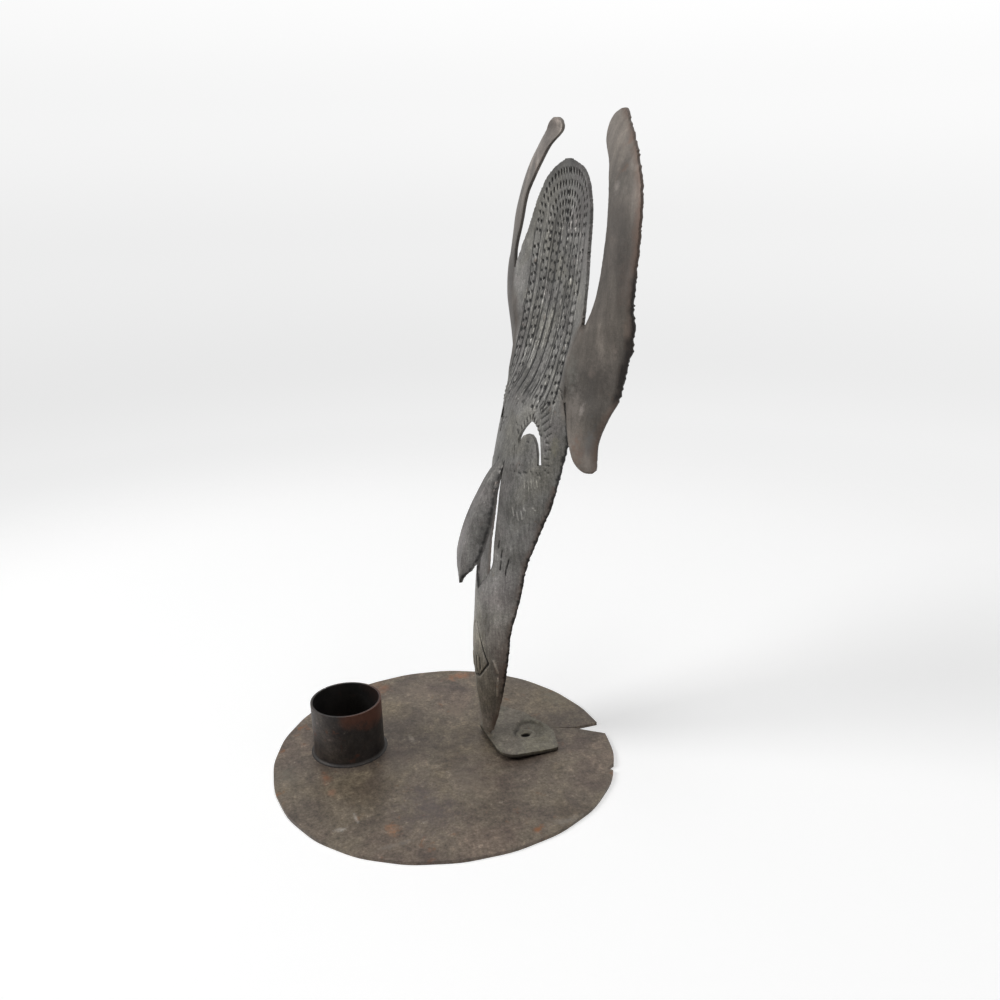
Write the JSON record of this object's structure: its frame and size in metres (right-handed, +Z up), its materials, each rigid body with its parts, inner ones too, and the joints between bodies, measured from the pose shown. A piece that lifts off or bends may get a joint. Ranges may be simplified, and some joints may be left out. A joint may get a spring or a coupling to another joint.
{
  "type": "candle holder",
  "caption": "Folk mask candle holder: a chased sheet-steel face with side blades, riveted to a round plate behind a brazed candle cup.",
  "frame": {"origin": "middle of the round plate, on its underside", "axes": "+Z up; -Y is the way the mask looks, towards the candle; +X is the side of the cheek that the picture shows"},
  "size_m": [0.1206, 0.1205, 0.2142],
  "materials": {
    "plate_steel": "rust-browned, scratched",
    "cup_steel": "fire-blackened",
    "braze": "darkened braze",
    "mask_steel": "wire-brushed, chased",
    "rivet_steel": "hammered"
  },
  "bodies": {
    "root": {"base_plate": "plate_steel", "candle_cup": "cup_steel", "cup_braze": "braze", "mask_sheet": "mask_steel", "rivet": "rivet_steel"}
  },
  "joints": []
}
